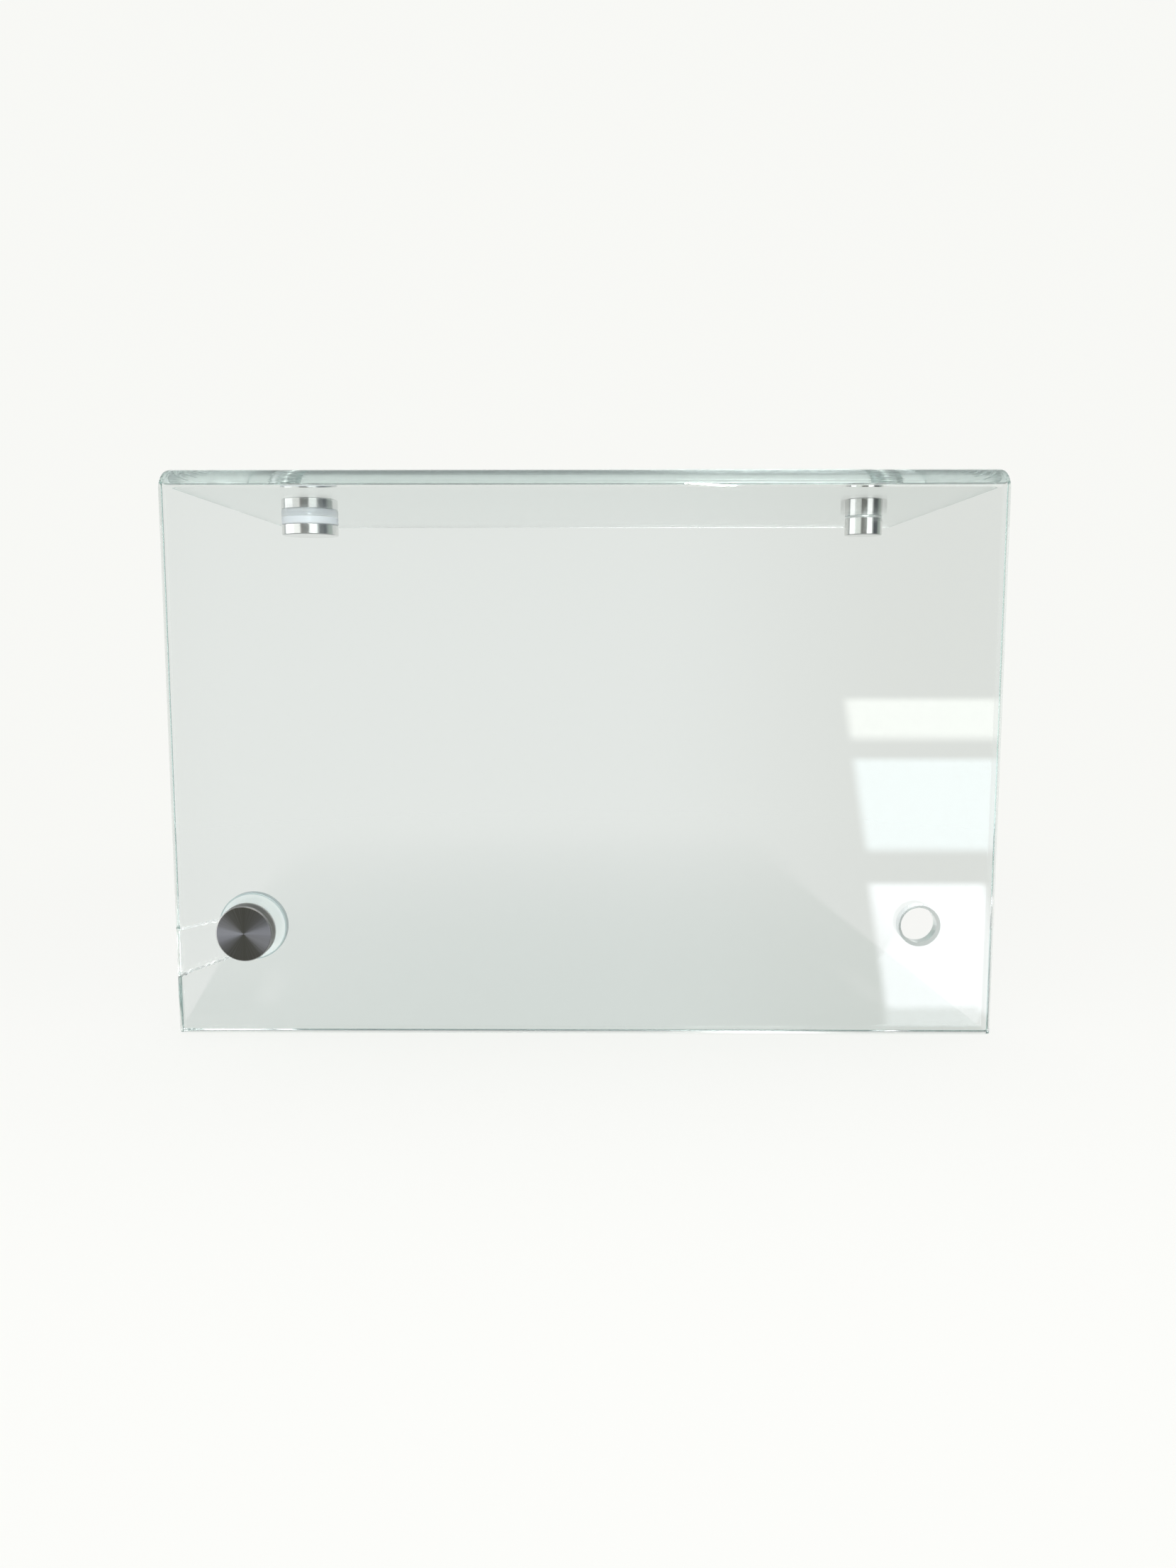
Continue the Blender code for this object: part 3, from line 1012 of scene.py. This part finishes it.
    def score(self, sheet: Piece) -> None:
        """Divides the flat faces into squares round the holes, so that no long thin facet is left.

        Args:
            sheet: The bent sheet before drilling.
        """
        cuts = []
        for centre, facing in self.holes:
            side = math.copysign(1.0, centre.x)
            cuts += [(0, side * self.collar_inner), (0, side * self.collar_outer)]
            axis = 2 if facing is Facing.FRONT else 1
            cuts += [(axis, centre[axis] - self.collar), (axis, centre[axis] + self.collar)]
        with Bench.editing(sheet):
            for axis, place in sorted({(axis, round(place, 6)) for axis, place in cuts}):
                Bench.grab()
                where, normal = [0.0, 0.0, 0.0], [0.0, 0.0, 0.0]
                where[axis], normal[axis] = place, 1.0
                bpy.ops.mesh.bisect(plane_co=where, plane_no=normal)
        Bench.sort(sheet)

    def build(self, glass: Material) -> tuple[Piece, Piece]:
        """Makes the sheet and its broken piece.

        Args:
            glass: The material for both.

        Returns:
            The drilled sheet and the broken piece.
        """
        sheet = self.blank("glass_sheet")
        self.score(sheet)
        for number, (centre, facing) in enumerate(self.holes):
            Bench.cut(sheet, self.drill(f"drill_{number}", centre, facing))
        Bench.activate(sheet)
        bpy.ops.object.duplicate()
        shard = Bench.name(bpy.context.active_object, "glass_shard")
        gap, chip = self.crack_width / 2, self.crack_chip
        Bench.cut(sheet, self.break_cutter("pocket", gap, chip))
        Bench.cut(shard, self.break_cutter("filler", -gap, -chip), "INTERSECT")
        for piece in (sheet, shard):
            with Bench.editing(piece):
                Bench.weld(WELD_CUT)
                bpy.ops.mesh.dissolve_degenerate(threshold=WELD_CUT)
            Bench.sort(piece)
            Bench.smooth(piece, SMOOTH_GLASS)
            self.flatten(piece)
            self.mark(piece)
            Bench.dress(piece, glass)
        return sheet, shard


def frame_of(centre: Vector, facing: Facing) -> Matrix:
    """Gives the frame of a fixing: its Z axis leaves the outer face of the glass.

    Args:
        centre: Where the axis meets the outer face.
        facing: The way the cap looks.

    Returns:
        The frame as a matrix.
    """
    turn = Matrix.Rotation(math.pi / 2, 4, "X") if facing is Facing.FRONT else Matrix.Identity(4)
    return Matrix.Translation(centre) @ turn


@dataclass
class Fixing:
    """One standoff: cap, gasket, sleeve, stud and the spacer on the ledge side."""

    side: str
    centre: Vector
    facing: Facing
    spacer: Spacer
    glass: float = 6.6 * MM
    standoff: float = 8.0 * MM
    cap_radius: float = 10.2 * MM
    cap_foot: float = 1.2 * MM
    cap_head: float = 7.2 * MM
    cap_skin: float = 1.2 * MM
    bore: float = 3.2 * MM
    gasket_radius: float = 9.0 * MM
    washer_radius: float = 12.5 * MM
    washer_height: float = 3.15 * MM
    barrel_radius: float = 8.25 * MM
    film_radius: float = 7.95 * MM
    film_height: float = 0.42 * MM
    sleeve_radius: float = 6.2 * MM
    stud_radius: float = 3.0 * MM
    stud_head: float = 5.7 * MM
    base_skin: float = 1.0 * MM
    pitch: float = 1.0 * MM
    thread_depth: float = 0.61
    crest_span: Span = (0.44, 0.56)
    cap_chamfer: float = 0.45 * MM
    cap_heel: float = 0.3 * MM
    base_chamfer: float = 0.35 * MM
    barrel_brink: float = 0.10 * MM
    cap_centre: Span = (0.35 * MM, 0.03 * MM)
    cap_rounding: float = 0.10 * MM
    gasket_rounding: float = 0.15 * MM
    sleeve_rounding: float = 0.2 * MM
    film_rounding: float = 0.08 * MM
    washer_rounding: float = 0.3 * MM
    base_rounding: float = 0.08 * MM
    end_gap: float = 0.3 * MM

    @property
    def reach(self) -> float:
        """How far the spacer's bearing face lies behind the outer face of the glass."""
        return self.glass + self.standoff

    @property
    def stud_foot(self) -> float:
        """How far the stud's inner end lies behind the outer face of the glass."""
        return self.reach - self.base_skin - self.end_gap

    @property
    def place(self) -> Matrix:
        """The fixing's own frame."""
        return frame_of(self.centre, self.facing)

    def finish_piece(self, piece: Piece, node: str, body: str,
                     material: Material) -> Piece:
        """Puts a turned piece in its place and ties it to the frame.

        Args:
            piece: The piece, still standing on the Z axis.
            node: The solid that it stands for.
            body: The body that it moves with.
            material: Its finish.

        Returns:
            The piece.
        """
        Bench.settle(piece, self.place)
        Bench.dress(piece, material)
        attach(piece, body)
        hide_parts(node)
        piece.visible_shadow = False
        LOG.info("made %s for %s", piece.name, node)
        return piece

    def cap(self, spun: SpunSteelFinish) -> None:
        """Turns the cap: a spun face, a rim that carries a painted highlight, and a blind bore.

        Args:
            spun: The finish of the cap.
        """
        r = self.cap_radius
        outline = [
            (0.0, self.cap_head - self.cap_centre[1]),
            (self.cap_centre[0], self.cap_head),
            (r - self.cap_chamfer, self.cap_head),
            (r, self.cap_head - self.cap_chamfer),
            (r, self.cap_foot + self.cap_heel),
            (r - self.cap_heel, self.cap_foot),
            (self.bore, self.cap_foot),
            (self.bore, self.cap_head - self.cap_skin),
            (0.0, self.cap_head - self.cap_skin),
        ]
        piece = Bench.turn(f"{self.side}_spun_cap", outline, False, TURN_STEPS, self.cap_rounding)
        body = f"{self.side}_cap"
        self.finish_piece(piece, body, body, spun.make(self.place, self.facing, self.cap_head))

    def ring(self, name: str, outer: float, high: float, low: float, rounding: float) -> Piece:
        """Turns a plain ring round the stud, between two heights.

        Args:
            name: The new object's name.
            outer: The ring's radius.
            high: The height of its upper face.
            low: The height of its lower face.
            rounding: The width taken off each rim.

        Returns:
            The ring.
        """
        outline = [(self.bore, high), (outer, high), (outer, low), (self.bore, low)]
        return Bench.turn(name, outline, True, RING_STEPS, rounding)

    def soft_parts(self, vinyl: Material) -> None:
        """Makes the gasket under the cap and the sleeve in the hole.

        Args:
            vinyl: The material of both.
        """
        gasket = self.ring(f"{self.side}_clear_gasket", self.gasket_radius,
                           self.cap_foot - CLEARANCE, CLEARANCE, self.gasket_rounding)
        self.finish_piece(gasket, f"{self.side}_gasket", f"{self.side}_seat", vinyl)
        sleeve = self.ring(f"{self.side}_clear_sleeve", self.sleeve_radius,
                           -self.end_gap, -self.glass + self.end_gap, self.sleeve_rounding)
        self.finish_piece(sleeve, f"{self.side}_sleeve", "panel", vinyl)

    def stud(self, steel: Material) -> None:
        """Screws a tooth into a threaded rod and cuts its ends square.

        Args:
            steel: The material of the rod.
        """
        crest = self.stud_radius
        root = crest - self.thread_depth * self.pitch
        low = -self.stud_foot - self.pitch
        turns = math.ceil((self.stud_head + self.stud_foot) / self.pitch) + 2
        tooth = [
            (root, low),
            (crest, low + self.crest_span[0] * self.pitch),
            (crest, low + self.crest_span[1] * self.pitch),
            (root, low + self.pitch),
        ]
        rod = Bench.chain(f"{self.side}_threaded_stud", tooth, False)
        screw = rod.modifiers.new("thread", "SCREW")
        screw.axis = "Z"
        screw.angle = math.tau
        screw.screw_offset = self.pitch
        screw.iterations = turns
        screw.steps = THREAD_STEPS
        screw.render_steps = THREAD_STEPS
        screw.use_merge_vertices = True
        screw.merge_threshold = WELD_LINE
        Bench.apply(rod, screw)
        with Bench.editing(rod):
            Bench.weld(WELD_LINE)
            Bench.face_out()
            for height, inner in ((-self.stud_foot, True), (self.stud_head, False)):
                Bench.grab()
                bpy.ops.mesh.bisect(plane_co=(0, 0, height), plane_no=(0, 0, 1), use_fill=True,
                                    clear_inner=inner, clear_outer=not inner)
            Bench.face_out()
        Bench.smooth(rod, SMOOTH_THREAD)
        self.finish_piece(rod, f"{self.side}_stud", "panel", steel)

    def base(self, polished: PolishedSteelFinish, nylon: NylonFinish, film: Material) -> None:
        """Makes the spacer: a washer or a film, and a broad disc or a narrow barrel.

        Args:
            polished: The finish of the disc or barrel.
            nylon: The finish of the washer.
            film: The material of the film.
        """
        top = -self.glass - CLEARANCE
        if self.spacer is Spacer.FILM_AND_BARREL:
            high = top - self.film_height
            ring = self.ring(f"{self.side}_clear_film", self.film_radius, top, high, self.film_rounding)
            self.finish_piece(ring, f"{self.side}_film_washer", "panel", film)
        else:
            high = top - self.washer_height
            washer = self.ring(f"{self.side}_white_washer", self.washer_radius, top, high, self.washer_rounding)
            soft = nylon.make(self.place, self.washer_radius)
            self.finish_piece(washer, f"{self.side}_washer", "panel", soft)
        high -= CLEARANCE
        wide = self.spacer is Spacer.WASHER_AND_DISC
        node = f"{self.side}_base_disc" if wide else f"{self.side}_barrel"
        radius = self.washer_radius if wide else self.barrel_radius
        low = -self.reach
        chamfer = self.base_chamfer
        brink = chamfer if wide else self.barrel_brink
        outline = [
            (0.0, low + self.base_skin),
            (self.bore, low + self.base_skin),
            (self.bore, high),
            (radius - brink, high),
            (radius, high - brink),
            (radius, low + chamfer),
            (radius - chamfer, low),
            (0.0, low),
        ]
        piece = Bench.turn(f"{node}_turned", outline, False, TURN_STEPS, self.base_rounding)
        self.finish_piece(piece, node, "panel", polished.make(self.place))


@dataclass
class Studio:
    """The floor, the light and the camera of the picture."""

    floor: float = -0.1904
    floor_drop: float = 0.05 * MM
    floor_size: float = 12.0
    floor_colour: Colour = (0.945, 0.947, 0.925)
    floor_fade: Span = (0.10, 0.56)
    white: Colour = (0.938, 0.942, 0.915)
    ambient: Colour = (0.435, 0.435, 0.435)
    ceiling: Colour = (0.25, 0.26, 0.265)
    ceiling_span: Span = (0.34, 0.60)
    ground: Colour = (0.46, 0.47, 0.46)
    ground_span: Span = (-0.42, -0.60)
    back_depth: Span = (0.30, 0.55)
    back_height: Span = (0.30, 0.13)
    dusk: Colour = (0.05, 0.05, 0.045)
    veil: Colour = (0.78, 0.82, 0.90)
    veil_left: Span = (-0.55, -0.30)
    veil_right: Span = (0.30, 0.02)
    veil_height: Span = (0.30, -0.05)
    veil_share: Span = (0.55, 1.0)
    panes: tuple[tuple[float, float, float, float, Colour], ...] = (
        (0.205, 0.42, -0.092, -0.058, (3.3, 3.4, 3.2)),
        (0.205, 0.42, -0.190, -0.110, (2.9, 3.4, 3.6)),
        (0.203, 0.305, -0.340, -0.220, (4.3, 4.4, 4.7)),
    )
    room_turns: Span = (2.5, 2.0)
    room_nearest: float = 0.05
    room_ahead: Span = (0.1, 0.2)
    room_top: Span = (0.9, 0.6)
    room_side: Span = (0.75, 0.58)
    pane_slant: float = 0.17
    pane_blur: float = 0.006
    pane_top_blur: float = 0.004
    wall_gain: float = 2.2
    walls: tuple[tuple[float, Colour], ...] = (
        (-180.0, (0.43, 0.43, 0.42)), (-150.0, (0.43, 0.43, 0.42)), (-138.0, (0.26, 0.27, 0.26)),
        (-107.0, (0.24, 0.25, 0.25)), (-100.0, (1.0, 1.0, 1.0)), (-63.0, (1.0, 1.0, 1.0)),
        (-56.0, (0.68, 0.68, 0.66)), (-31.0, (0.66, 0.66, 0.64)), (-23.0, (0.13, 0.125, 0.115)),
        (6.0, (0.11, 0.108, 0.10)), (14.0, (1.0, 1.0, 1.0)), (38.0, (1.0, 1.0, 1.0)),
        (46.0, (0.30, 0.31, 0.31)), (56.0, (0.06, 0.066, 0.07)), (78.0, (0.06, 0.066, 0.07)),
        (88.0, (0.16, 0.18, 0.17)), (98.0, (0.23, 0.26, 0.24)), (136.0, (0.26, 0.29, 0.27)),
        (150.0, (0.43, 0.43, 0.42)), (180.0, (0.43, 0.43, 0.42)),
    )
    key_power: float = 362.0
    key_distance: float = 6.0
    key_azimuth: float = math.radians(7.3)
    key_height: float = math.radians(36.0)
    key_width: float = 0.12
    key_tall: float = 2.4
    key_target: Vector = field(default_factory=lambda: Vector((0.0, 0.02, -0.10)))
    eye: Vector = field(default_factory=lambda: Vector((0.0042, -0.4282, -0.0427)))
    pitch: float = math.radians(7.51)
    yaw: float = math.radians(0.37)
    lens: float = 26.63
    bounces: int = 96

    @staticmethod
    def mirrored(nodes: Nodes, limit: float) -> Socket:
        """Tells the rays that a surface has thrown back from those that only passed through glass.

        Args:
            nodes: The nodes of the floor or of the world.
            limit: How many turns a straight ray counts, and half a turn; the world counts one itself.

        Returns:
            A socket that is 1 for a ray that was thrown back.
        """
        path = nodes.add("ShaderNodeLightPath").outputs
        turned = nodes.math("SUBTRACT", path["Ray Depth"], path["Transmission Depth"], path["Diffuse Depth"])
        return nodes.math("GREATER_THAN", turned, limit)

    def lay_floor(self) -> None:
        """Lays a pale floor that fades into the white behind it."""
        bpy.ops.object.select_all(action="DESELECT")
        bpy.ops.mesh.primitive_plane_add(size=self.floor_size)
        floor = Bench.name(bpy.context.active_object, "studio_floor")
        Bench.settle(floor, Matrix.Translation((0.0, 0.0, self.floor - self.floor_drop)))
        made, nodes, shader = Finish("studio_floor", self.floor_colour, 0.9).start({"Specular IOR Level": 0.0})
        size = nodes.add("ShaderNodeVectorMath", {0: nodes.spot()}, operation="LENGTH")
        glow = nodes.add("ShaderNodeEmission", {"Color": self.white}).outputs[0]
        shown = nodes.choose(nodes.ramp(size.outputs["Value"], self.floor_fade), shader.outputs[0], glow)
        clear = nodes.add("ShaderNodeBsdfTransparent").outputs[0]
        shown = nodes.choose(self.mirrored(nodes, 0.5), shown, clear)
        nodes.feed(made.node_tree.nodes["Material Output"].inputs["Surface"], shown)
        Bench.dress(floor, made)
        floor.visible_glossy = False

    def light_world(self) -> None:
        """Fills the studio with soft light, and gives glass and metal a room of light and dark to mirror."""
        world = bpy.data.worlds.new("studio")
        bpy.context.scene.world = world
        world.use_nodes = True
        nodes = Nodes(world.node_tree)
        path = nodes.add("ShaderNodeLightPath").outputs
        x, y, z = nodes.parts(nodes.add("ShaderNodeTexCoord").outputs["Generated"])
        ahead = nodes.math("MULTIPLY", y, -1.0)
        share = nodes.math("ADD", nodes.math("DIVIDE", nodes.math("ARCTAN2", x, ahead), math.tau), 0.5)
        feeds = {0: nodes.bands(share, self.walls), "Scale": self.wall_gain}
        mirror = nodes.add("ShaderNodeVectorMath", feeds, operation="SCALE").outputs[0]
        mirror = nodes.blend(nodes.ramp(z, self.ceiling_span), mirror, self.ceiling)
        mirror = nodes.blend(nodes.ramp(z, self.ground_span), mirror, self.ground)
        level = nodes.ramp(nodes.math("ABSOLUTE", z), self.back_height)
        behind = nodes.math("MULTIPLY", nodes.ramp(y, self.back_depth), level)
        mirror = nodes.blend(behind, mirror, self.white)
        near = nodes.math("MAXIMUM", ahead, self.room_nearest)
        across = nodes.math("DIVIDE", x, near)
        up = nodes.math("DIVIDE", z, near)
        turns, glass_turns = self.room_turns
        most_turns = nodes.math("ADD", nodes.math("MULTIPLY", path["Is Transmission Ray"], glass_turns), turns)
        close = nodes.math("MULTIPLY", nodes.math("LESS_THAN", path["Ray Depth"], most_turns),
                           nodes.ramp(ahead, self.room_ahead), nodes.ramp(up, self.room_top),
                           nodes.ramp(nodes.math("ABSOLUTE", across), self.room_side))
        mirror = nodes.blend(close, mirror, self.front_room(nodes, across, up))
        seen = nodes.math("MAXIMUM", path["Is Camera Ray"], path["Is Transmission Ray"], path["Is Glossy Ray"])
        shown = nodes.blend(self.mirrored(nodes, 1.5), self.white, mirror)
        shown = nodes.blend(seen, self.ambient, shown)
        nodes.feed(world.node_tree.nodes["Background"].inputs["Color"], shown)

    def front_room(self, nodes: Nodes, across: Socket, up: Socket) -> Socket:
        """Paints what the face of the glass mirrors: a pale room with a window on the right.

        Args:
            nodes: The world's nodes.
            across: How far to the right a ray looks, for each unit ahead.
            up: How far up it looks, for each unit ahead.

        Returns:
            The colour socket.
        """
        veil = nodes.math("MULTIPLY", nodes.ramp(across, self.veil_left), nodes.ramp(across, self.veil_right),
                          nodes.ramp(up, self.veil_height, self.veil_share))
        room = nodes.blend(veil, self.dusk, self.veil)
        slanted = nodes.math("ADD", across, nodes.math("MULTIPLY", up, self.pane_slant))
        blur, top_blur = self.pane_blur, self.pane_top_blur
        for left, right, low, high, colour in self.panes:
            pane = nodes.math("MULTIPLY",
                              nodes.ramp(slanted, (left - blur, left + blur)),
                              nodes.ramp(slanted, (right + blur, right - blur)),
                              nodes.ramp(up, (low - blur, low + blur)),
                              nodes.ramp(up, (high + top_blur, high - top_blur)))
            room = nodes.blend(pane, room, colour)
        return room

    def hang_key(self) -> None:
        """Hangs the main lamp in front, above and a little to the right."""
        lamp = bpy.data.lights.new("key", "AREA")
        lamp.energy = self.key_power
        lamp.shape = "RECTANGLE"
        lamp.size = self.key_width
        lamp.size_y = self.key_tall
        held = bpy.data.objects.new("key", lamp)
        bpy.context.scene.collection.objects.link(held)
        flat = math.cos(self.key_height)
        right, ahead = flat * math.sin(self.key_azimuth), flat * math.cos(self.key_azimuth)
        aim = Vector((right, -ahead, math.sin(self.key_height)))
        held.location = self.key_target + aim * self.key_distance
        held.rotation_euler = aim.to_track_quat("Z", "Y").to_euler()

    def set_camera(self) -> None:
        """Stands the camera where the photograph was taken from."""
        eye = bpy.data.cameras.new("camera")
        eye.lens = self.lens
        eye.sensor_width = 36.0
        eye.clip_start = 0.01
        held = bpy.data.objects.new("camera", eye)
        bpy.context.scene.collection.objects.link(held)
        held.location = self.eye
        held.rotation_euler = Euler((math.pi / 2 - self.pitch, 0.0, self.yaw), "XYZ")
        bpy.context.scene.camera = held

    def build(self) -> None:
        """Sets up the whole studio."""
        scene = bpy.context.scene
        scene.view_settings.view_transform = "Standard"
        for limit in ("max", "glossy", "transmission", "transparent_max"):
            setattr(scene.cycles, f"{limit}_bounces", self.bounces)
        self.lay_floor()
        self.light_world()
        self.hang_key()
        self.set_camera()


def main() -> None:
    """Builds every piece, ties it to the frame and logs it."""
    logging.basicConfig(level=logging.INFO, format="%(name)s: %(message)s")
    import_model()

    glass = GlassFinish("clear_glass", (0.832, 0.857, 0.846), 0.0, shade=(0.88, 0.90, 0.89),
                        absorb=(0.82, 0.90, 0.885), density=7.5).make()
    vinyl = VinylFinish("clear_vinyl", (0.93, 0.95, 0.95), 0.08, refraction=1.49,
                        shade=(0.92, 0.93, 0.93)).make()
    film = VinylFinish("cloudy_film", (0.97, 0.98, 0.98), 0.45, refraction=1.49).make()
    # The front washers carry painted shade round their rims. The top washers use a darker shaded copy of the
    # same nylon, painted shade under the top panel, with a fainter painted rim shade.
    nylon = {
        Facing.FRONT: NylonFinish("white_nylon", (0.92, 0.935, 0.945), 0.38),
        Facing.UP: NylonFinish("shaded_nylon", (0.86, 0.88, 0.90), 0.38, rim=(0.80, 0.815, 0.87)),
    }
    rod = RodFinish("stud_steel", (0.60, 0.60, 0.59), 0.22).make()
    spun = SpunSteelFinish("spun_steel", (0.335, 0.335, 0.345), 0.34)
    polished = PolishedSteelFinish("polished_steel", (0.80, 0.80, 0.79), 0.08)

    sheet = GlassSheet()
    x = sheet.width / 2 - sheet.side_margin
    top_x = sheet.width / 2 - sheet.top_side_margin
    setback = sheet.front + 123.5 * MM
    front_left = Vector((-x, sheet.front, sheet.foot + 39.5 * MM))
    fixings = [
        Fixing("front_left", front_left, Facing.FRONT, Spacer.WASHER_AND_BARREL),
        Fixing("top_left", Vector((-top_x, setback, sheet.top)), Facing.UP, Spacer.WASHER_AND_DISC),
        Fixing("top_right", Vector((top_x, setback, sheet.top)), Facing.UP, Spacer.FILM_AND_BARREL),
    ]
    sheet.holes = [(fixing.centre, fixing.facing) for fixing in fixings]
    sheet.holes.append((Vector((x, sheet.front, sheet.foot + 41.0 * MM)), Facing.FRONT))
    for piece, node in zip(sheet.build(glass), ("bent_glass_panel", "broken_edge_shard")):
        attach(piece, "panel")
        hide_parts(node)
        LOG.info("made %s for %s", piece.name, node)
    for fixing in fixings:
        fixing.cap(spun)
        fixing.soft_parts(vinyl)
        fixing.stud(rod)
        fixing.base(polished, nylon[fixing.facing], film)
    Studio().build()


if __name__ == "__main__":
    main()
